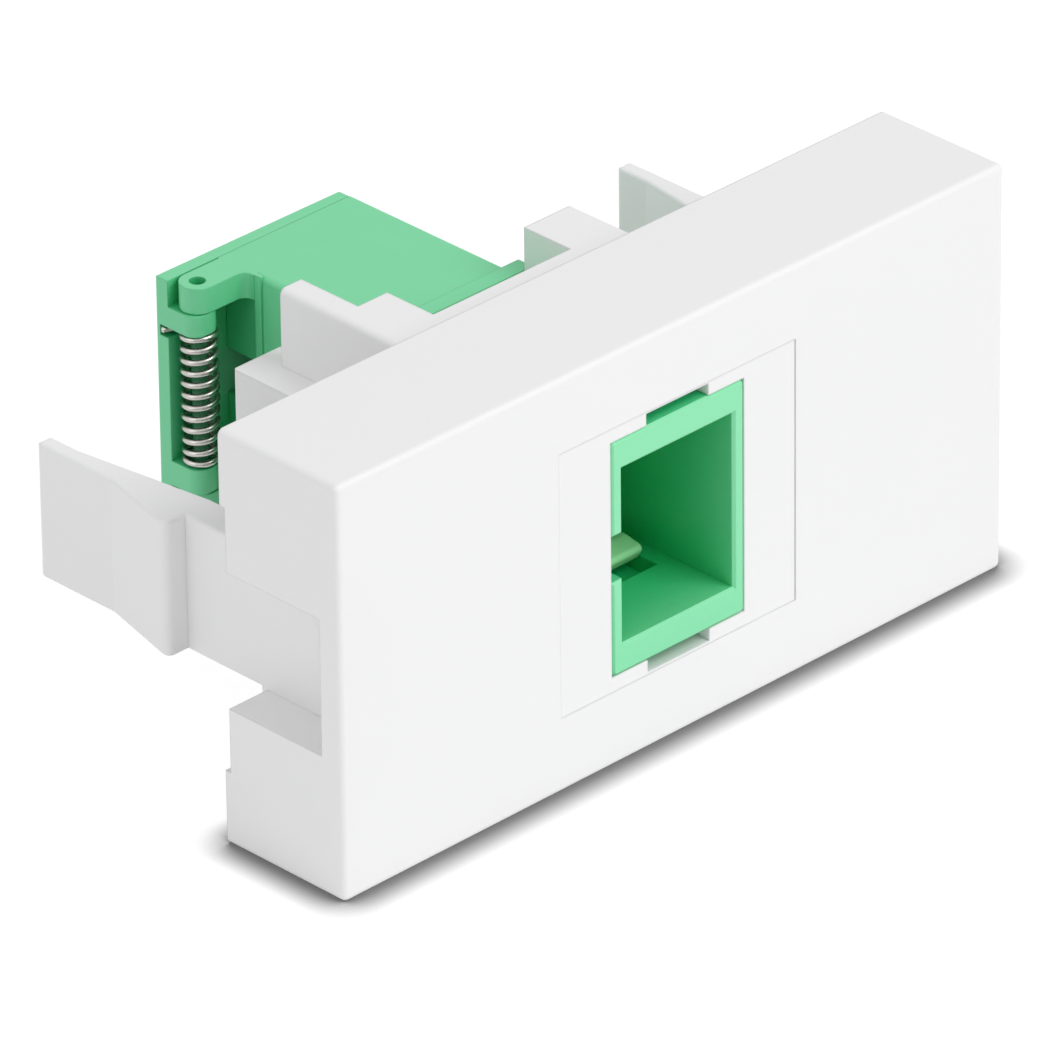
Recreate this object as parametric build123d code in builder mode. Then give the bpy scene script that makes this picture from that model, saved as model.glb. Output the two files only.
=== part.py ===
from build123d import *
import os

os.makedirs("parts", exist_ok=True)

# All sizes are in millimetres. X runs along the long side of the plate, Y from the front to the rear, Z up.
# The origin is the middle of the rear rim, the plane in which the plate seats in its wall frame.

# Module plate, a hollow box that is open to the rear
module_width = 45.0
module_height = 22.5
module_depth = 8.0
plate_wall = 1.35
side_wall = 1.4
corner_round = 0.35
front_round = 0.3
recess_width = 16.0
recess_height = 14.4
recess_depth = 0.06

# End slots and snap latches
slot_depth = 2.5
slot_height = 7.4
slot_wall = 1.2
rim_step = 0.35
rim_step_height = 14.4
latch_root = 1.9
latch_tip = 0.9
latch_lean = 0.1
latch_reach = 15.4
latch_taper_start = 5.3
latch_taper_end = 13.3
latch_round = 0.35
latch_edge_round = 0.2
tooth_catch = 5.1
tooth_height = 1.25
tooth_flat = 0.5
tooth_ramp = 4.6
tooth_round = 0.4

# Cage around the coupler, with a guard wall and a wing on the hinge side
cage_width = 15.95
cage_height = 17.9
cage_block = 3.35
strip_reach = 3.9
guard_wall = 1.4
guard_reach = 11.0
wing_overhang = 1.85
wing_height = 9.5
wing_reach = 12.45
cage_round = 0.35
end_round = 0.2

# Coupler body, a square tube with a port at each end
body_width = 9.0
body_height = 12.8
body_length = 26.95
body_round = 0.3
port_width = 7.5
port_height = 9.55
port_chamfer = 0.15
key_width = 2.5
key_length = 7.0
flange_width = 10.8
flange_height = 13.2
flange_thickness = 1.0
flange_offset = 1.6
window_gap = 0.02
tongue_width = 4.2
tongue_height = 0.65

# Latch inserts and the ferrule sleeve in the middle of the coupler
insert_plate = 1.0
insert_width = 8.0
insert_height = 11.1
insert_gap = 0.05
holder_radius = 2.3
holder_length = 5.2
holder_lip = 0.45
holder_lip_radius = 1.42
sleeve_radius = 1.6
sleeve_bore = 1.25
sleeve_slot = 0.5
sleeve_gap = 0.05
sleeve_end_gap = 0.05
hook_width = 5.3
hook_thickness = 0.6
hook_gap = 0.15
hook_drop = 0.3
hook_depth = 5.0
hook_rise = 0.95
hook_nose_rise = 0.7
hook_undercut = 0.45
hook_end_slope = 0.7
hook_nose = 1.2
hook_flat = 0.3
hook_ramp = 0.9
hook_round = 0.25
channel_lead = 0.75

# Hinge at the left rear corner
axis_out = 2.45
axis_in = 1.0
ear_radius = 0.92
ear_thickness = 1.4
ear_lip = 0.15
ear_fillet = 0.5
pocket_depth = 0.35
pocket_length = 2.55
rib_width = 0.45
rib_height = 0.12
pin_radius = 0.4
pin_fit = 0.02
pin_recess = 0.45
knuckle_gap = 0.05
knuckle_play = 0.05
knuckle_radius = 0.87
knuckle_round = 0.7
upper_knuckle = 1.15
lower_knuckle = 1.35

# Flap over the rear port
flap_thickness = 0.85
flap_draft = 0.1
flap_gap = 0.02
flap_heel = 1.05
flap_short = 0.25
flap_round = 0.25
notch_width = 1.25
notch_depth = 0.58
notch_height = 0.58

# Torsion spring round the hinge pin
wire_radius = 0.16
coil_radius = 0.82
coil_turns = 12
coil_gap = 0.06
leg_angle = 66
leg_reach = 1.6
upper_leg_rise = 0.18
lower_leg_rise = 0.08
leg_gap = 0.05

# Places that follow from the sizes
front_y = -module_depth
plate_y = front_y + plate_wall
body_rear_y = front_y + body_length
middle_y = (front_y + body_rear_y) / 2
flange_y = middle_y + flange_offset
seat_y = middle_y - insert_plate
clamp_y = middle_y + insert_plate
slot_floor_x = module_width / 2 - slot_depth
wing_x = -cage_width / 2 - wing_overhang
hook_top = port_height / 2
channel_height = port_height + 2 * (hook_thickness + hook_drop)
axis_x = -body_width / 2 - axis_out
axis_y = body_rear_y - axis_in
ear_z = body_height / 2 - ear_thickness
knuckle_top_z = ear_z - knuckle_gap
knuckle_bottom_z = knuckle_top_z - upper_knuckle
ledge_z = -knuckle_top_z + lower_knuckle
flap_y = body_rear_y + flap_gap
flap_left_x = axis_x - flap_heel
flap_right_x = body_width / 2 - flap_short
hinge_axis = Axis((axis_x, axis_y, 0), (0, 0, 1))


def facing_front(y):
    """A sketch plane at depth y that looks at the front; negative amounts extrude to the rear."""
    return Plane.XZ.offset(-y)


# Snap latches, rooted in the slot floors, with a rounded tooth and rounded free ends
latch_outer_x = slot_floor_x + latch_lean
tooth_x = slot_floor_x + tooth_height

with BuildPart() as latch_pair:
    with BuildSketch(Plane.XY.offset(-slot_height / 2)) as latch_profile:
        with BuildLine():
            Polyline(
                (slot_floor_x, -rim_step),
                (slot_floor_x, tooth_catch),
                (tooth_x, tooth_catch),
                (tooth_x, tooth_catch + tooth_flat),
                (latch_outer_x, tooth_catch + tooth_flat + tooth_ramp),
                (latch_outer_x, latch_reach),
                (latch_outer_x - latch_tip, latch_reach),
                (latch_outer_x - latch_tip, latch_taper_end),
                (slot_floor_x - latch_root, latch_taper_start),
                (slot_floor_x - latch_root, -rim_step),
                close=True,
            )
        make_face()
        tooth_corner = latch_profile.vertices().sort_by_distance((tooth_x, tooth_catch))[0]
        fillet(tooth_corner, tooth_round)
        fillet(latch_profile.vertices().sort_by(Axis.Y)[-2:], latch_round)
        mirror(about=Plane.YZ)
    extrude(amount=slot_height)
    outlines = latch_pair.faces().sort_by(Axis.Z)
    fillet(outlines[:2].edges() + outlines[-2:].edges(), latch_edge_round)
    with BuildSketch(Plane.YZ.offset(-module_width / 2)) as latch_side:
        with Locations((-rim_step, 0)):
            Rectangle(latch_reach + rim_step, slot_height, align=(Align.MIN, Align.CENTER))
        fillet(latch_side.vertices().sort_by(Axis.X)[-2:], latch_round)
    extrude(amount=module_width, mode=Mode.INTERSECT)

# Module plate: box, end slots, snap latches and cage in one moulding
inner_width = module_width - 2 * side_wall
inner_height = module_height - 2 * side_wall
housing_depth = slot_depth + latch_root
housing_height = slot_height + 2 * slot_wall
window_width = body_width + 2 * window_gap
window_height = body_height + 2 * window_gap

with BuildPart() as module_plate:
    with BuildSketch(facing_front(front_y)):
        Rectangle(module_width, module_height)
    extrude(amount=-module_depth)
    fillet(module_plate.edges().filter_by(Axis.Y), corner_round)
    fillet(module_plate.faces().sort_by(Axis.Y)[0].edges(), front_round)

    # Hollow behind the plate, round the slot housings and the cage
    with BuildSketch(facing_front(plate_y)):
        Rectangle(inner_width, inner_height)
        with Locations(
            (module_width / 2 - housing_depth / 2, 0),
            (housing_depth / 2 - module_width / 2, 0),
        ):
            Rectangle(housing_depth, housing_height, mode=Mode.SUBTRACT)
        RectangleRounded(cage_width, cage_height, cage_round, mode=Mode.SUBTRACT)
    extrude(amount=plate_y, mode=Mode.SUBTRACT)

    # Slots in the two short ends, and the lower rim between the corners
    with BuildSketch(facing_front(plate_y)):
        with Locations(
            (module_width / 2 - slot_depth / 2, 0),
            (slot_depth / 2 - module_width / 2, 0),
        ):
            Rectangle(slot_depth, slot_height)
    extrude(amount=plate_y, mode=Mode.SUBTRACT)
    with BuildSketch(facing_front(-rim_step)):
        with Locations(
            (module_width / 2 - slot_depth / 2, 0),
            (slot_depth / 2 - module_width / 2, 0),
        ):
            Rectangle(slot_depth, rim_step_height)
    extrude(amount=-rim_step, mode=Mode.SUBTRACT)

    # Snap latches
    add(latch_pair.part)

    # Cage blocks at the sides, on which the flange seats, and strips above and below
    with BuildSketch(facing_front(-rim_step)):
        RectangleRounded(cage_width, cage_height, cage_round)
        Rectangle(cage_width - 2 * cage_block, cage_height, mode=Mode.SUBTRACT)
    extrude(amount=-(flange_y + rim_step))
    with BuildSketch(facing_front(-rim_step)):
        Rectangle(cage_width - 2 * cage_block, cage_height)
    extrude(amount=-(strip_reach + rim_step))

    # Guard wall and wing beside the hinge
    with BuildSketch(facing_front(-rim_step)):
        RectangleRounded(cage_width, cage_height, cage_round)
        with Locations((guard_wall, 0)):
            Rectangle(cage_width, cage_height, mode=Mode.SUBTRACT)
    extrude(amount=-(guard_reach + rim_step))
    with BuildSketch(Plane.XY.offset(-wing_height / 2)) as wing_profile:
        with Locations((wing_x, plate_y)):
            Rectangle(
                wing_overhang + guard_wall, wing_reach - plate_y, align=(Align.MIN, Align.MIN)
            )
        fillet(wing_profile.vertices().sort_by(Axis.Y)[-2:], end_round)
    extrude(amount=wing_height)

    # Window for the coupler, tongue grooves and the shallow front recess
    with BuildSketch(facing_front(front_y)):
        Rectangle(window_width, window_height)
        Rectangle(tongue_width, window_height + 2 * tongue_height)
    extrude(amount=-(flange_y - front_y), mode=Mode.SUBTRACT)
    with BuildSketch(facing_front(front_y)):
        Rectangle(recess_width, recess_height)
    extrude(amount=-recess_depth, mode=Mode.SUBTRACT)

module_plate.part.label = "module_plate"
export_step(module_plate.part, "parts/module_plate.step")


def port_cutter(mouth_y, inward):
    """The space of one port with its key slot and its hook channels.

    inward is 1 for the front port, whose inside lies to the rear, and -1 for the rear port.
    """
    port_depth = body_length / 2 - insert_plate
    channel_start = hook_depth - channel_lead
    with BuildPart() as cutter:
        with BuildSketch(facing_front(mouth_y)):
            Rectangle(port_width, port_height)
        extrude(amount=-inward * port_depth)
        with BuildSketch(facing_front(mouth_y)):
            with Locations((-body_width / 2, 0)):
                Rectangle(body_width - port_width, key_width)
        extrude(amount=-inward * key_length)
        with BuildSketch(facing_front(mouth_y + inward * channel_start)):
            Rectangle(hook_width + 2 * hook_gap, channel_height)
        extrude(amount=-inward * (port_depth - channel_start))
    return cutter.part


front_port = port_cutter(front_y, 1)
rear_port = port_cutter(body_rear_y, -1)

# Front shell of the coupler: tube, front port and the seat of the inserts
with BuildPart() as coupler_front_shell:
    with BuildSketch(facing_front(front_y)):
        Rectangle(body_width, body_height)
    extrude(amount=-(flange_y - front_y))
    fillet(coupler_front_shell.edges().filter_by(Axis.Y), body_round)
    add(front_port, mode=Mode.SUBTRACT)
    with BuildSketch(facing_front(seat_y)):
        Rectangle(insert_width + 2 * insert_gap, insert_height + 2 * insert_gap)
    extrude(amount=-(flange_y - seat_y), mode=Mode.SUBTRACT)
    chamfer(coupler_front_shell.faces().sort_by(Axis.Y)[0].edges(), port_chamfer)

coupler_front_shell.part.label = "coupler_front_shell"
export_step(coupler_front_shell.part, "parts/coupler_front_shell.step")

# Rear shell of the coupler: tube, flange, rear port, clamping spigot and hinge ears
with BuildPart() as coupler_rear_shell:
    with BuildSketch(facing_front(flange_y)):
        Rectangle(body_width, body_height)
    extrude(amount=-(body_rear_y - flange_y))
    fillet(coupler_rear_shell.edges().filter_by(Axis.Y), body_round)
    with BuildSketch(facing_front(flange_y)):
        RectangleRounded(flange_width, flange_height, body_round)
    extrude(amount=-flange_thickness)
    with BuildSketch(facing_front(clamp_y)):
        Rectangle(insert_width, insert_height)
    extrude(amount=-(flange_y - clamp_y))

    # Side pocket that gives the spring room, with its front rib
    with BuildSketch(Plane.XY.offset(-ear_z)):
        with Locations((-body_width / 2, body_rear_y)):
            Rectangle(pocket_depth, pocket_length, align=(Align.MIN, Align.MAX))
    extrude(amount=2 * ear_z, mode=Mode.SUBTRACT)
    with BuildSketch(Plane.XY.offset(-body_height / 2)):
        with Locations((-body_width / 2, body_rear_y - pocket_length)):
            Rectangle(2 * rib_height, rib_width, align=(Align.CENTER, Align.MAX))
    extrude(amount=body_height)

    # Ears: a round eye on an arm that runs into the side of the body
    with BuildSketch(Plane.XY.offset(ear_z)) as ear_profile:
        with Locations((axis_x, axis_y)):
            Rectangle(axis_out + pocket_depth, 2 * ear_radius, align=(Align.MIN, Align.CENTER))
        with Locations((-body_width / 2 - ear_lip, body_rear_y)):
            Rectangle(ear_lip + pocket_depth, pocket_length, align=(Align.MIN, Align.MAX))
        inner_corner = ear_profile.vertices().sort_by_distance(
            (-body_width / 2 - ear_lip, axis_y - ear_radius, ear_z)
        )[0]
        fillet(inner_corner, ear_fillet)
        with Locations((axis_x, axis_y)):
            Circle(ear_radius)
            Circle(pin_radius + pin_fit, mode=Mode.SUBTRACT)
    extrude(amount=ear_thickness)
    mirror(about=Plane.XY)
    add(rear_port, mode=Mode.SUBTRACT)

coupler_rear_shell.part.label = "coupler_rear_shell"
export_step(coupler_rear_shell.part, "parts/coupler_rear_shell.step")

# Latch insert: base plate, half of the sleeve holder and two spring hooks
sleeve_length = 2 * (insert_plate + holder_length - holder_lip - sleeve_end_gap)
holder_y = seat_y - holder_length
hook_tip_y = front_y + hook_depth

with BuildPart() as front_latch_insert:
    with BuildSketch(facing_front(seat_y)):
        Rectangle(insert_width, insert_height)
    extrude(amount=-insert_plate)
    with BuildSketch(facing_front(holder_y)):
        Circle(holder_radius)
    extrude(amount=-holder_length)
    with BuildSketch(facing_front(holder_y)):
        Circle(holder_lip_radius)
    extrude(amount=-(middle_y - holder_y), mode=Mode.SUBTRACT)
    with BuildSketch(facing_front(holder_y + holder_lip)):
        Circle(sleeve_radius + sleeve_gap)
    extrude(amount=-(middle_y - holder_y - holder_lip), mode=Mode.SUBTRACT)

    # Hook arms lie in the channels, with their noses turned to the plug
    with BuildSketch(Plane.YZ.offset(-hook_width / 2)) as hook_profile:
        with BuildLine():
            Polyline(
                (seat_y, hook_top),
                (hook_tip_y + hook_nose + hook_flat + hook_ramp, hook_top),
                (hook_tip_y + hook_nose + hook_flat, hook_top - hook_rise),
                (hook_tip_y + hook_nose, hook_top - hook_rise),
                (hook_tip_y, hook_top - hook_nose_rise),
                (hook_tip_y + hook_undercut, hook_top),
                (hook_tip_y + hook_undercut + hook_end_slope, hook_top + hook_thickness),
                (seat_y, hook_top + hook_thickness),
                close=True,
            )
        make_face()
        fillet(hook_profile.vertices().sort_by(Axis.X)[0], hook_round)
        mirror(about=Plane.XZ)
    extrude(amount=hook_width)

front_latch_insert.part.label = "front_latch_insert"
export_step(front_latch_insert.part, "parts/front_latch_insert.step")

with BuildPart() as rear_latch_insert:
    mirror(front_latch_insert.part, about=facing_front(middle_y))

rear_latch_insert.part.label = "rear_latch_insert"
export_step(rear_latch_insert.part, "parts/rear_latch_insert.step")

# Alignment sleeve: a thin tube with one slot along it
with BuildPart() as alignment_sleeve:
    with BuildSketch(facing_front(middle_y - sleeve_length / 2)):
        Circle(sleeve_radius)
        Circle(sleeve_bore, mode=Mode.SUBTRACT)
        with Locations((0, sleeve_radius)):
            Rectangle(sleeve_slot, 2 * sleeve_slot + sleeve_radius / 2, mode=Mode.SUBTRACT)
    extrude(amount=-sleeve_length)

alignment_sleeve.part.label = "alignment_sleeve"
export_step(alignment_sleeve.part, "parts/alignment_sleeve.step")


def knuckle_block(bottom_z, height):
    """One knuckle of the flap, rounded in front and bored for the pin."""
    with BuildPart() as knuckle:
        with BuildSketch(Plane.XY.offset(bottom_z)) as knuckle_profile:
            with Locations((flap_left_x, axis_y - knuckle_radius)):
                Rectangle(
                    flap_heel + knuckle_radius,
                    flap_y + flap_thickness / 2 - axis_y + knuckle_radius,
                    align=(Align.MIN, Align.MIN),
                )
            left_corner = knuckle_profile.vertices().sort_by(Axis.Y)[:2].sort_by(Axis.X)[0]
            fillet(left_corner, knuckle_round)
            right_corner = knuckle_profile.vertices().sort_by(Axis.Y)[:2].sort_by(Axis.X)[-1]
            fillet(right_corner, knuckle_radius)
            with Locations((axis_x, axis_y)):
                Circle(pin_radius + knuckle_play, mode=Mode.SUBTRACT)
        extrude(amount=height)
    return knuckle.part


upper_block = knuckle_block(knuckle_bottom_z, upper_knuckle)
lower_block = knuckle_block(-knuckle_top_z, lower_knuckle)

# Flap: a plate that is a little thicker at the hinge, two knuckles and a notch for the spring leg
with BuildPart() as rear_flap:
    with BuildSketch(Plane.XY.offset(-body_height / 2)):
        with BuildLine():
            Polyline(
                (flap_right_x, flap_y),
                (flap_right_x, flap_y + flap_thickness),
                (flap_left_x, flap_y + flap_thickness + flap_draft),
                (flap_left_x, flap_y),
                close=True,
            )
        make_face()
    extrude(amount=body_height)
    fillet(rear_flap.faces().sort_by(Axis.Y)[-1].edges(), flap_round)
    with BuildSketch(Plane.XY.offset(knuckle_bottom_z - notch_height)):
        with Locations((flap_left_x, flap_y + notch_depth)):
            Rectangle(notch_width, 2 * notch_depth, align=(Align.MIN, Align.MAX))
    extrude(amount=notch_height, mode=Mode.SUBTRACT)
    add(upper_block)
    add(lower_block)

rear_flap.part.label = "rear_flap"
export_step(rear_flap.part, "parts/rear_flap.step")

# Hinge pin, sunk a little below both ears
with BuildPart() as hinge_pin:
    pin_length = body_height - 2 * pin_recess
    with BuildSketch(Plane.XY.offset(-pin_length / 2)):
        with Locations((axis_x, axis_y)):
            Circle(pin_radius)
    extrude(amount=pin_length)

hinge_pin.part.label = "hinge_pin"
export_step(hinge_pin.part, "parts/hinge_pin.step")

# Torsion spring: a coil whose two straight legs leave along the wire, one into the notch of the flap
# and one to the pocket wall of the shell
coil_bottom_z = ledge_z + coil_gap + wire_radius + lower_leg_rise
coil_height = knuckle_bottom_z - coil_gap - wire_radius - upper_leg_rise - coil_bottom_z
with BuildPart() as torsion_spring:
    with BuildLine() as spring_wire:
        coil = Helix(
            coil_height / coil_turns,
            coil_height,
            coil_radius,
            center=(axis_x, axis_y, coil_bottom_z),
            mode=Mode.PRIVATE,
        ).rotate(hinge_axis, leg_angle)
        wall_x = -body_width / 2 + pocket_depth - leg_gap - wire_radius
        lower_leg = ((coil @ 0).X - wall_x) / (coil % 0).X
        Line(coil @ 0 - (coil % 0) * lower_leg, coil @ 0)
        add(coil)
        Line(coil @ 1, coil @ 1 + (coil % 1) * leg_reach)
    wire_path = spring_wire.wires()[0]
    with BuildSketch(Plane(origin=wire_path @ 0, z_dir=wire_path % 0)):
        Circle(wire_radius)
    sweep(path=wire_path)

torsion_spring.part.label = "torsion_spring"
export_step(torsion_spring.part, "parts/torsion_spring.step")
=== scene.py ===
# %% [markdown]
# # A snap-in outlet plate with a green fibre coupler
#
# This notebook dresses a imported CAD model in Blender. The object is small, 45 mm long: a white plate that
# snaps into a wall frame, a green coupler that sits in it on its side, and a flap with a wire spring that
# keeps dust out and laser light in. The CAD model already has the right shape and size, so the work here is
# the camera, the light, the finish of every surface and the spring, the one piece of the object that bends,
# which is wound anew here.

# %% Load the imported model
import bpy
from math import cos, pi, radians, sin
from mathutils import Matrix, Vector


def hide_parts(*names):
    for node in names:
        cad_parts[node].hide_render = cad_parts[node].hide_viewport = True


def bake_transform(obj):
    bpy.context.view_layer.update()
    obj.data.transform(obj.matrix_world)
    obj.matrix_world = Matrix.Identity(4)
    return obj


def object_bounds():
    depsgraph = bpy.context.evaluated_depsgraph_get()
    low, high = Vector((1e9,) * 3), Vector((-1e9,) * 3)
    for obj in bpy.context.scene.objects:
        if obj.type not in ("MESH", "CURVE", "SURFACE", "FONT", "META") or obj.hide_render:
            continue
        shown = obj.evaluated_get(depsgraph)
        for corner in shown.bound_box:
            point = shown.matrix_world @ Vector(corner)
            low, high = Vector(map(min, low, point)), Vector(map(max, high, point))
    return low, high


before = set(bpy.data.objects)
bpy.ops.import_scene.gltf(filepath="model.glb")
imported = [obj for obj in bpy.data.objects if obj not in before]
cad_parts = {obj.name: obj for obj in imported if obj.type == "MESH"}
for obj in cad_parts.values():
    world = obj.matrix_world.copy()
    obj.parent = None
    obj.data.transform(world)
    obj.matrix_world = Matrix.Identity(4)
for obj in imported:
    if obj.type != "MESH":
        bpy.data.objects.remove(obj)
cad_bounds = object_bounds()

scene = bpy.context.scene
MM = 0.001
print("CAD nodes:", sorted(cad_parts))
print("CAD box in mm:", [[round(v / MM, 2) for v in corner] for corner in cad_bounds])

# %% [markdown]
# ## The camera
#
# A camera was fitted to the photograph by the corners of the plate, whose size is a standard. It stands
# 0.6 m away with a very long lens, so lines that run away from it hardly meet. The picture is taken to be
# square. Blender's camera looks along its own -Z axis, so its three axes are written as the columns of a
# matrix.

# %% Place the camera
PHOTO_SIDE = 1037
CAMERA_TURN = radians(44.347)
CAMERA_RISE = radians(29.394)
CAMERA_ROLL = radians(-0.676)
CAMERA_DISTANCE = 613.06 * MM
FOCAL_PIXELS = 12872.2
SENSOR_MM = 36.0
CLIP_START = 0.05
CLIP_END = 20.0
AIM_POINT = Vector((-6.805, -4.0, 1.730)) * MM


def camera_matrix():
    """The camera's place and turn as a matrix, from the angles above."""
    backward = Vector((
        -sin(CAMERA_TURN) * cos(CAMERA_RISE),
        -cos(CAMERA_TURN) * cos(CAMERA_RISE),
        sin(CAMERA_RISE),
    ))
    level = Vector((cos(CAMERA_TURN), -sin(CAMERA_TURN), 0.0))
    upright = backward.cross(level)
    right = level * cos(CAMERA_ROLL) + upright * sin(CAMERA_ROLL)
    up = upright * cos(CAMERA_ROLL) - level * sin(CAMERA_ROLL)
    axes = Matrix((right, up, backward)).transposed().to_4x4()
    return Matrix.Translation(AIM_POINT + backward * CAMERA_DISTANCE) @ axes


camera_data = bpy.data.cameras.new("photo_camera")
camera_data.sensor_width = SENSOR_MM
camera_data.lens = FOCAL_PIXELS * SENSOR_MM / PHOTO_SIDE
camera_data.clip_start = CLIP_START
camera_data.clip_end = CLIP_END
camera = bpy.data.objects.new("photo_camera", camera_data)
scene.collection.objects.link(camera)
camera.matrix_world = camera_matrix()
scene.camera = camera
print("camera lens in mm:", round(camera_data.lens, 1))

# %% [markdown]
# ## A small kit for materials
#
# Moulded plastic is never one flat value. Its colour drifts a little where the melt cooled, its gloss is
# broken by the texture of the mould, and both are far too small to model. So every finish here is a
# Principled shader whose colour, roughness and bump come from noise in Object coordinates. These
# coordinates are in metres, so a scale of 1000 makes a pattern about a millimetre wide. A Bevel node rounds
# the look of each sharp edge by a tenth of a millimetre, as a worn mould does.

# %% Helpers for node materials
NOISE_LOW = 0.3
NOISE_HIGH = 0.7
SHUT_IN = 0.15
IN_THE_OPEN = 0.85
SHADE_SAMPLES = 6


def new_material(name):
    """An empty node material with its Principled shader, and a function that adds nodes to it."""
    material = bpy.data.materials.new(name)
    material.use_nodes = True
    tree = material.node_tree
    shader = tree.nodes["Principled BSDF"]

    def add(kind, **values):
        node = tree.nodes.new(kind)
        for key, value in values.items():
            if key in node.inputs:
                node.inputs[key].default_value = value
            else:
                setattr(node, key, value)
        return node

    return material, tree.links, shader, add


def noise(links, add, per_metre, detail=3.0, roughness=0.5):
    """A noise pattern with that many features to the metre, in Object coordinates."""
    place = add("ShaderNodeTexCoord")
    pattern = add("ShaderNodeTexNoise", Scale=per_metre, Detail=detail, Roughness=roughness)
    links.new(place.outputs["Object"], pattern.inputs["Vector"])
    return pattern.outputs["Fac"]


def spread(links, add, value, low, high):
    """Maps a noise pattern, which seldom leaves its middle, to the range from low to high."""
    node = add("ShaderNodeMapRange")
    node.inputs["From Min"].default_value = NOISE_LOW
    node.inputs["From Max"].default_value = NOISE_HIGH
    node.inputs["To Min"].default_value = low
    node.inputs["To Max"].default_value = high
    links.new(value, node.inputs["Value"])
    return node.outputs["Result"]


def mixed_color(links, add, value, first, second):
    """A colour that drifts from first to second with a 0 to 1 pattern."""
    node = add("ShaderNodeMix", data_type="RGBA")
    node.inputs["A"].default_value = (*first, 1.0)
    node.inputs["B"].default_value = (*second, 1.0)
    links.new(value, node.inputs["Factor"])
    return node.outputs["Result"]


def painted_corner_shade(links, add, color, painted_shade_color, reach):
    """Painted shade: leans a colour to a darker, deeper one where walls close in within reach, as in a port
    or a pocket.
    """
    nearness = add("ShaderNodeAmbientOcclusion", samples=SHADE_SAMPLES, Distance=reach)
    shut_in = add("ShaderNodeMapRange")
    shut_in.inputs["From Min"].default_value = SHUT_IN
    shut_in.inputs["From Max"].default_value = IN_THE_OPEN
    shut_in.inputs["To Min"].default_value = 1.0
    shut_in.inputs["To Max"].default_value = 0.0
    links.new(nearness.outputs["AO"], shut_in.inputs["Value"])
    node = add("ShaderNodeMix", data_type="RGBA")
    node.inputs["B"].default_value = (*painted_shade_color, 1.0)
    links.new(color, node.inputs["A"])
    links.new(shut_in.outputs["Result"], node.inputs["Factor"])
    return node.outputs["Result"]


print("noise patterns show from", NOISE_LOW, "to", NOISE_HIGH)

# %% Moulded plastic
DRIFT_PER_METRE = 90.0
PATCHES_PER_METRE = 700.0
GRAIN_PER_METRE = 9000.0
WAVES_PER_METRE = 260.0
GRAIN_SHARE = 0.25
GRAIN_DEPTH = 0.02 * MM
GLOSS_SPREAD = 0.05
EDGE_SAMPLES = 6
POCKET_REACH = 5.0 * MM
PLASTIC_IOR = 1.5


def moulded_plastic(name, light, dark, gloss, mould_grain, edge, painted_shade_color=None, reach=POCKET_REACH):
    """Satin moulded plastic: a slow drift of colour, uneven gloss, the grain of the mould and soft edges;
    given a shade colour, it also paints shade where walls close in.
    """
    material, links, shader, add = new_material(name)
    drift = noise(links, add, DRIFT_PER_METRE, detail=2.0)
    color = mixed_color(links, add, drift, light, dark)
    # painted shade: a darker, deeper green where walls close in
    if painted_shade_color:
        color = painted_corner_shade(links, add, color, painted_shade_color, reach)
    links.new(color, shader.inputs["Base Color"])
    patches = noise(links, add, PATCHES_PER_METRE, detail=4.0)
    uneven_gloss = spread(links, add, patches, gloss - GLOSS_SPREAD, gloss + GLOSS_SPREAD)
    links.new(uneven_gloss, shader.inputs["Roughness"])
    grain = noise(links, add, GRAIN_PER_METRE, detail=2.0)
    waves = noise(links, add, WAVES_PER_METRE, detail=1.0)
    both = add("ShaderNodeMath", operation="MULTIPLY_ADD")
    both.inputs[1].default_value = GRAIN_SHARE
    links.new(grain, both.inputs[0])
    links.new(waves, both.inputs[2])
    bump = add("ShaderNodeBump", Strength=mould_grain, Distance=GRAIN_DEPTH)
    links.new(both.outputs["Value"], bump.inputs["Height"])
    soft_edge = add("ShaderNodeBevel", samples=EDGE_SAMPLES, Radius=edge)
    links.new(soft_edge.outputs["Normal"], bump.inputs["Normal"])
    links.new(bump.outputs["Normal"], shader.inputs["Normal"])
    shader.inputs["IOR"].default_value = PLASTIC_IOR
    return material


def dress(node_name, material):
    """Puts one material on a CAD node, in place of the one it came with."""
    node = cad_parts[node_name]
    node.data.materials.clear()
    node.data.materials.append(material)


print("mould grain in mm:", round(1 / GRAIN_PER_METRE / MM, 2))

# %% [markdown]
# ## White plastic
#
# The plate, its latches and the cage are one moulding in opaque white ABS. Its gloss is soft, with no clear
# reflections, and the colour is a plain white.

# %% Finish the module plate
white_plastic = moulded_plastic(
    "white_plastic",
    light=(0.90, 0.90, 0.90),
    dark=(0.88, 0.881, 0.883),
    gloss=0.42,
    mould_grain=0.12,
    edge=0.14 * MM,
)
dress("module_plate", white_plastic)
print("white plastic on module_plate")
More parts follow.
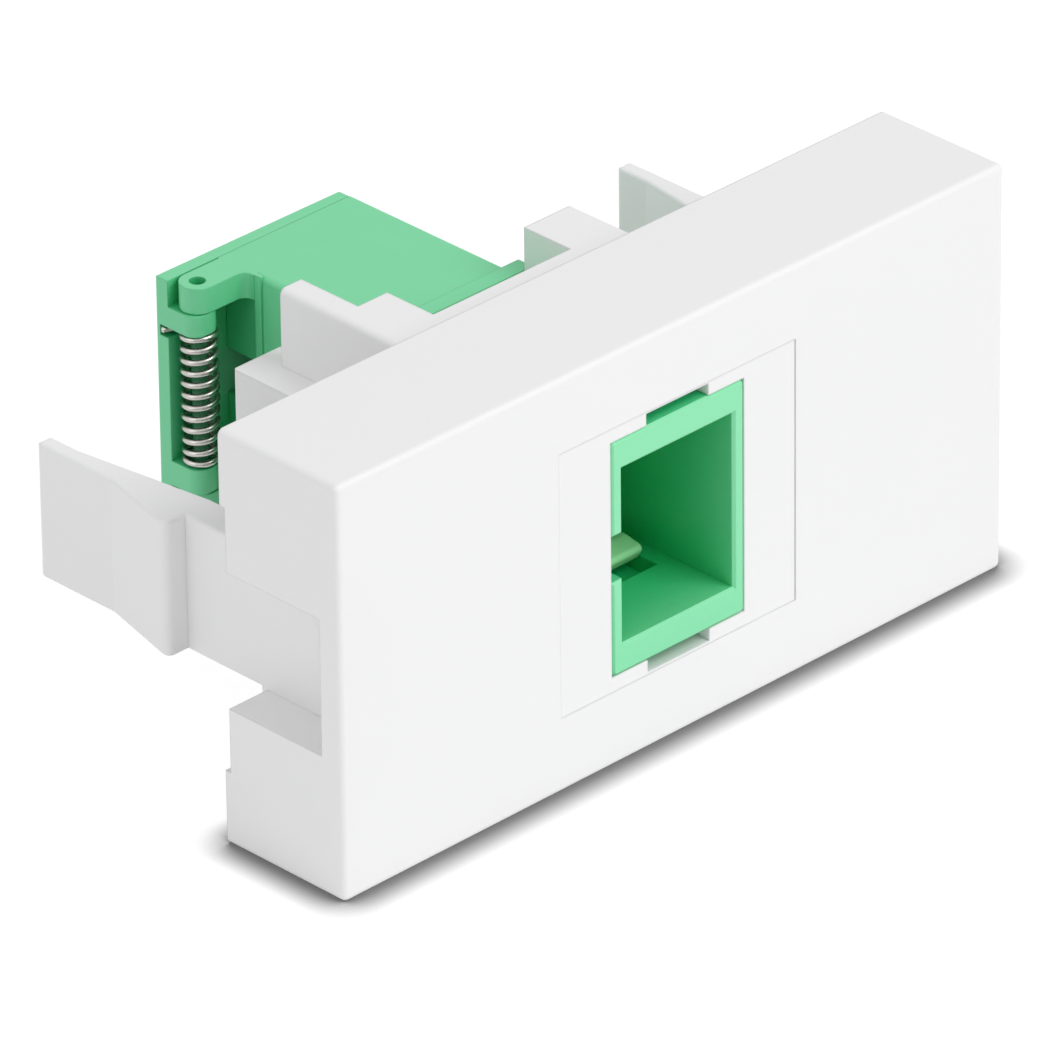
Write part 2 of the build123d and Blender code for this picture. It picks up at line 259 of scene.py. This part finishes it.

# %% [markdown]
# ## Green plastic
#
# The coupler and the flap are moulded in a light, saturated green that lets a little light in. The port and
# the hinge pocket look much deeper in colour than the outside. Bounces alone make part of that, and the rest
# is painted shade: an Ambient Occlusion node leans the colour towards a darker, deeper green where walls
# close in. The front shell gets a lighter copy of the green, painted light for its brightly lit front face.
# The latch inserts get a lighter, yellower copy, painted light for the light that falls on them in the port
# mouth, and the pin a dark copy, painted shade for the shade between the coils.

# %% Finish the coupler, the flap, the pin and the inserts
green_plastic = moulded_plastic(
    "green_plastic",
    light=(0.185, 0.710, 0.370),
    dark=(0.175, 0.685, 0.350),
    gloss=0.38,
    mould_grain=0.12,
    edge=0.10 * MM,
    # painted shade: a darker, deeper green in the port and the hinge pocket
    painted_shade_color=(0.020, 0.500, 0.170),
)
# painted light: a lighter copy of the green for the lit front face; its shade colour paints shade in the port
front_green_painted_light_and_shade = moulded_plastic(
    "front_green_painted_light_and_shade",
    light=(0.270, 0.820, 0.460),
    dark=(0.260, 0.795, 0.440),
    gloss=0.38,
    mould_grain=0.12,
    edge=0.05 * MM,
    # painted shade: a darker, deeper green up to 12 mm into the port
    painted_shade_color=(0.012, 0.560, 0.190),
    reach=12.0 * MM,
)
# painted light: a lighter, yellower copy of the green for the light on the latch inserts
latch_plastic = moulded_plastic(
    "latch_plastic",
    light=(0.44, 0.95, 0.50),
    dark=(0.42, 0.92, 0.48),
    gloss=0.35,
    mould_grain=0.10,
    edge=0.10 * MM,
)
# painted shade: a dark copy of the green for the shade between the coils
pin_green_painted_shade = moulded_plastic(
    "pin_green_painted_shade",
    light=(0.060, 0.280, 0.130),
    dark=(0.050, 0.250, 0.115),
    gloss=0.42,
    mould_grain=0.12,
    edge=0.05 * MM,
)
for piece_name in ("coupler_rear_shell", "rear_flap"):
    dress(piece_name, green_plastic)
for piece_name in ("front_latch_insert", "rear_latch_insert"):
    dress(piece_name, latch_plastic)
dress("coupler_front_shell", front_green_painted_light_and_shade)
dress("hinge_pin", pin_green_painted_shade)
print("four plastics on the coupler, the flap, the inserts and the pin")

# %% [markdown]
# ## Zirconia sleeve
#
# The sleeve that lines up the two ferrules is ground ceramic: ivory white and almost polished.

# %% Finish the sleeve
IVORY_LIGHT = (0.84, 0.82, 0.76)
IVORY_DARK = (0.80, 0.78, 0.72)
CLOUDS_PER_METRE = 500.0
RING_SCALE = 6000.0
RING_WOBBLE = 1.5
CERAMIC_GLOSS = (0.16, 0.26)
CERAMIC_IOR = 2.1


def ground_ceramic():
    """Ivory ceramic with the faint rings that a grinding wheel leaves."""
    material, links, shader, add = new_material("zirconia")
    clouds = noise(links, add, CLOUDS_PER_METRE)
    links.new(mixed_color(links, add, clouds, IVORY_LIGHT, IVORY_DARK), shader.inputs["Base Color"])
    rings = add(
        "ShaderNodeTexWave",
        wave_type="BANDS",
        bands_direction="Y",
        Scale=RING_SCALE,
        Distortion=RING_WOBBLE,
    )
    place = add("ShaderNodeTexCoord")
    links.new(place.outputs["Object"], rings.inputs["Vector"])
    links.new(spread(links, add, rings.outputs["Fac"], *CERAMIC_GLOSS), shader.inputs["Roughness"])
    shader.inputs["IOR"].default_value = CERAMIC_IOR
    return material


zirconia = ground_ceramic()
dress("alignment_sleeve", zirconia)
print("ceramic on alignment_sleeve")

# %% [markdown]
# ## Spring wire
#
# The torsion spring is drawn stainless wire. Drawing leaves fine marks all over the wire, so the roughness
# is low but not even. The wire is so thin that noise in all directions stands for them.

# %% Finish for the spring
STEEL_LIGHT = (0.64, 0.62, 0.59)
STEEL_DARK = (0.46, 0.44, 0.41)
MARKS_PER_METRE = 2500.0
STEEL_GLOSS = (0.22, 0.36)


def drawn_wire():
    """Bright drawn steel wire with slightly uneven gloss."""
    material, links, shader, add = new_material("spring_steel")
    marks = noise(links, add, MARKS_PER_METRE, detail=4.0, roughness=0.6)
    links.new(mixed_color(links, add, marks, STEEL_LIGHT, STEEL_DARK), shader.inputs["Base Color"])
    links.new(spread(links, add, marks, *STEEL_GLOSS), shader.inputs["Roughness"])
    shader.inputs["Metallic"].default_value = 1.0
    return material


spring_steel = drawn_wire()
print("finish ready:", spring_steel.name)

# %% [markdown]
# ## The torsion spring
#
# This spring is wound from one round wire. A leg that pushes on the flap runs into a stretch that lies flat
# under the upper knuckle; eleven falling turns follow, then another flat stretch and a leg against the
# coupler. The CAD model has a plain helix for it. In Blender a helix is easy with the Screw modifier: it
# takes a profile, here the round section of the wire, and turns it about an axis while it shifts it. The flat
# stretches are made with Spin, the same motion without the shift, and the legs with Extrude. The piece
# takes the place of the CAD helix, which is hidden.

# %% Measures of the spring
hinge_axis = Vector((-6.95, 17.95, 0.0)) * MM
WIRE_RADIUS = 0.16 * MM
WIRE_SIDES = 20
COIL_RADIUS = 0.82 * MM
COIL_TOP = 3.58 * MM
COIL_BOTTOM = -3.38 * MM
FALLING_TURNS = 11
STEPS_PER_TURN = 48
COIL_START = radians(235.0)
LEG_TANGENT = radians(66.0)
UPPER_LEG = 1.60 * MM
LOWER_LEG = 2.48 * MM
TIP_ROUNDING = 0.05 * MM
TIP_SCALE = 0.65
SMOOTH_ANGLE = radians(40.0)
print("pitch of the coil in mm:", round((COIL_TOP - COIL_BOTTOM) / FALLING_TURNS / MM, 3))

# %% Helpers for winding
RING_REACH = 1.05 * WIRE_RADIUS
RING_FLATNESS = 0.1 * WIRE_RADIUS


def on_coil(angle, height):
    """The middle of the wire at that angle about the hinge and that height."""
    return hinge_axis + Vector((COIL_RADIUS * cos(angle), COIL_RADIUS * sin(angle), height))


def select_ring(piece, angle, height):
    """Selects the ring of wire at that angle and height, alone, and leaves edit mode on."""
    bpy.ops.object.mode_set(mode="EDIT")
    bpy.ops.mesh.select_mode(type="VERT")
    bpy.ops.mesh.select_all(action="DESELECT")
    bpy.ops.object.mode_set(mode="OBJECT")
    middle = on_coil(angle, height)
    along = Vector((-sin(angle), cos(angle), 0.0))
    for vertex in piece.data.vertices:
        away = piece.matrix_world @ vertex.co - middle
        vertex.select = away.length < RING_REACH and abs(away.dot(along)) < RING_FLATNESS
    picked = sum(vertex.select for vertex in piece.data.vertices)
    bpy.ops.object.mode_set(mode="EDIT")
    return picked


def flat_turn(angle):
    """Spins the selected ring about the hinge without a shift. The far ring stays selected.
    Spin counts a turn the other way from the coordinate axes, hence the minus."""
    steps = round(abs(angle) / (2 * pi) * STEPS_PER_TURN)
    bpy.ops.mesh.spin(steps=steps, angle=-angle, center=hinge_axis, axis=(0.0, 0.0, 1.0))


def straight_leg(direction, length, tip):
    """Extrudes the selected ring into a straight leg with a slightly rounded, closed tip."""
    for step in (length - TIP_ROUNDING, TIP_ROUNDING):
        bpy.ops.mesh.extrude_region_move(TRANSFORM_OT_translate={"value": direction * step})
    bpy.ops.transform.resize(value=(TIP_SCALE, TIP_SCALE, TIP_SCALE), center_override=tip)
    bpy.ops.mesh.edge_face_add()


print("winding helpers ready")

# %% Wind the coil
bpy.ops.object.select_all(action="DESELECT")
bpy.ops.mesh.primitive_circle_add(
    vertices=WIRE_SIDES,
    radius=WIRE_RADIUS,
    location=on_coil(COIL_START, COIL_TOP),
    rotation=(pi / 2, 0.0, COIL_START),
)
spring = bpy.context.active_object
spring.name = "wound_spring"
scene.cursor.location = hinge_axis
bpy.ops.object.transform_apply(location=True, rotation=True, scale=True)
bpy.ops.object.origin_set(type="ORIGIN_CURSOR")
winding = spring.modifiers.new("winding", "SCREW")
winding.axis = "Z"
winding.angle = -2 * pi
winding.screw_offset = (COIL_BOTTOM - COIL_TOP) / FALLING_TURNS
winding.iterations = FALLING_TURNS
winding.steps = STEPS_PER_TURN
winding.render_steps = STEPS_PER_TURN
bpy.ops.object.modifier_apply(modifier="winding")
print("coil:", len(spring.data.vertices), "vertices")

# %% Flat stretches and legs
MERGE_DISTANCE = 0.001 * MM
leg_way = Vector((-sin(LEG_TANGENT), cos(LEG_TANGENT), 0.0))
ring_size = select_ring(spring, COIL_START, COIL_TOP)
flat_turn(LEG_TANGENT + 2 * pi - COIL_START)
straight_leg(leg_way, UPPER_LEG, on_coil(LEG_TANGENT, COIL_TOP) + leg_way * UPPER_LEG)
print("upper ring:", ring_size, "vertices")
ring_size = select_ring(spring, COIL_START, COIL_BOTTOM)
flat_turn(LEG_TANGENT - COIL_START)
straight_leg(-leg_way, LOWER_LEG, on_coil(LEG_TANGENT, COIL_BOTTOM) - leg_way * LOWER_LEG)
print("lower ring:", ring_size, "vertices")
bpy.ops.mesh.select_all(action="SELECT")
bpy.ops.mesh.remove_doubles(threshold=MERGE_DISTANCE)
bpy.ops.mesh.normals_make_consistent(inside=False)
bpy.ops.object.mode_set(mode="OBJECT")
bpy.ops.object.transform_apply(location=True, rotation=True, scale=True)
bpy.ops.object.shade_smooth_by_angle(angle=SMOOTH_ANGLE)
for axis in range(3):
    places = [vertex.co[axis] / MM for vertex in spring.data.vertices]
    print("spring from", round(min(places), 2), "to", round(max(places), 2), "mm along", "XYZ"[axis])

# %% Put the spring in place of the CAD helix
spring.data.materials.append(spring_steel)
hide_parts("torsion_spring")
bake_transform(spring)

# %% [markdown]
# ## Floor, background and light
#
# The photograph has a pure white background and a narrow, dark, soft shadow where the plate meets the
# ground. A lit floor under a white object hardly darkens there, because the object throws light back on it.
# So two things are kept apart. To light that bounces, the floor is plain white matt. To the camera it is
# mostly its own white, faded by an Ambient Occlusion node, which measures how much of the space within two
# millimetres of a point is taken up by the object. That fade is a painted contact shadow.

# %% Floor
FLOOR_HEIGHT = cad_bounds[0][2]
FLOOR_SIZE = 6.0
FLOOR_BOUNCE = 0.95
FLOOR_SEEN = 0.15
CONTACT_REACH = 1.9 * MM
CONTACT_GLOW = 0.07
OPEN_GLOW = 0.92
CONTACT_CURVE = 1.5
CONTACT_SAMPLES = 16
HALF_OPEN = 0.5


def seen_directly(tree):
    """A 0 or 1 value: 1 for what the camera sees, straight, mirrored or through glass."""
    path = tree.nodes.new("ShaderNodeLightPath")
    total = path.outputs["Is Camera Ray"]
    for ray in ("Is Glossy Ray", "Is Transmission Ray"):
        either = tree.nodes.new("ShaderNodeMath")
        either.operation = "MAXIMUM"
        tree.links.new(total, either.inputs[0])
        tree.links.new(path.outputs[ray], either.inputs[1])
        total = either.outputs["Value"]
    return total


def painted_contact_shadow(tree):
    """The floor's own glow, which paints the contact shadow: low where the object stands, full a little way
    off.
    """
    nearness = tree.nodes.new("ShaderNodeAmbientOcclusion")
    nearness.samples = CONTACT_SAMPLES
    nearness.inputs["Distance"].default_value = CONTACT_REACH
    openness = tree.nodes.new("ShaderNodeMapRange")
    openness.inputs["From Min"].default_value = HALF_OPEN
    tree.links.new(nearness.outputs["AO"], openness.inputs["Value"])
    curve = tree.nodes.new("ShaderNodeMath")
    curve.operation = "POWER"
    curve.inputs[1].default_value = CONTACT_CURVE
    tree.links.new(openness.outputs["Result"], curve.inputs[0])
    glow = tree.nodes.new("ShaderNodeMapRange")
    glow.inputs["To Min"].default_value = CONTACT_GLOW
    glow.inputs["To Max"].default_value = OPEN_GLOW
    tree.links.new(curve.outputs["Value"], glow.inputs["Value"])
    return glow.outputs["Result"]


def floor_material():
    """White matt to light that bounces, and to the camera a white that fades at the object into a painted
    contact shadow.
    """
    material = bpy.data.materials.new("pale_floor")
    material.use_nodes = True
    tree = material.node_tree
    tree.nodes.remove(tree.nodes["Principled BSDF"])
    bounce = tree.nodes.new("ShaderNodeBsdfDiffuse")
    bounce.inputs["Color"].default_value = (FLOOR_BOUNCE, FLOOR_BOUNCE, FLOOR_BOUNCE, 1.0)
    matt = tree.nodes.new("ShaderNodeBsdfDiffuse")
    matt.inputs["Color"].default_value = (FLOOR_SEEN, FLOOR_SEEN, FLOOR_SEEN, 1.0)
    glow = tree.nodes.new("ShaderNodeEmission")
    # painted contact shadow: the glow fades where the object stands
    tree.links.new(painted_contact_shadow(tree), glow.inputs["Strength"])
    seen = tree.nodes.new("ShaderNodeAddShader")
    tree.links.new(matt.outputs["BSDF"], seen.inputs[0])
    tree.links.new(glow.outputs["Emission"], seen.inputs[1])
    choose = tree.nodes.new("ShaderNodeMixShader")
    tree.links.new(seen_directly(tree), choose.inputs["Fac"])
    tree.links.new(bounce.outputs["BSDF"], choose.inputs[1])
    tree.links.new(seen.outputs["Shader"], choose.inputs[2])
    tree.links.new(choose.outputs["Shader"], tree.nodes["Material Output"].inputs["Surface"])
    return material


bpy.ops.object.select_all(action="DESELECT")
bpy.ops.mesh.primitive_plane_add(size=FLOOR_SIZE, location=(0, 0, FLOOR_HEIGHT))
floor = bpy.context.active_object
floor.name = "floor"
bpy.ops.object.transform_apply(location=True, rotation=True, scale=True)
floor.data.materials.append(floor_material())
print("floor at", round(FLOOR_HEIGHT / MM, 2), "mm")

# %% [markdown]
# ## Lamps and world
#
# The light is plain: an even pale sky gives most of it. A soft lamp in front, a little to the right and well
# above, makes the front face brighter than the top and the top brighter than the end, as in the photograph,
# and shines down into the port. A weak one at the left lights the hinge, which the plate keeps from the
# first. At this level a colour renders about as it is written, and white plastic stays below pure white.

# %% Lamps and world
WORLD_LIGHT = 0.57
LAMP_DISTANCE = 0.8
LAMP_SIZE = 0.5
FRONT_LAMP_WAY = (0.35, -1.0, 1.05)
FRONT_LAMP_WATTS = 2.9
SIDE_LAMP_WAY = (-1.0, 0.25, 0.6)
SIDE_LAMP_WATTS = 0.68


def soft_lamp(name, direction, watts):
    """A square soft lamp that shines on the object from one direction."""
    data = bpy.data.lights.new(name, "AREA")
    data.shape = "SQUARE"
    data.size = LAMP_SIZE
    data.energy = watts
    lamp = bpy.data.objects.new(name, data)
    scene.collection.objects.link(lamp)
    away = Vector(direction).normalized()
    lamp.location = away * LAMP_DISTANCE
    lamp.rotation_euler = away.to_track_quat("Z", "Y").to_euler()


def light_world():
    """White to the camera, an even pale light to everything else."""
    world = bpy.data.worlds.new("white_studio")
    world.use_nodes = True
    tree = world.node_tree
    background = tree.nodes["Background"]
    background.inputs["Color"].default_value = (1.0, 1.0, 1.0, 1.0)
    strength = tree.nodes.new("ShaderNodeMapRange")
    strength.inputs["To Min"].default_value = WORLD_LIGHT
    strength.inputs["To Max"].default_value = 1.0
    tree.links.new(seen_directly(tree), strength.inputs["Value"])
    tree.links.new(strength.outputs["Result"], background.inputs["Strength"])
    scene.world = world


light_world()
soft_lamp("front_lamp", FRONT_LAMP_WAY, FRONT_LAMP_WATTS)
soft_lamp("side_lamp", SIDE_LAMP_WAY, SIDE_LAMP_WATTS)
scene.view_settings.view_transform = "Standard"
print("world light", WORLD_LIGHT, "and two soft lamps")
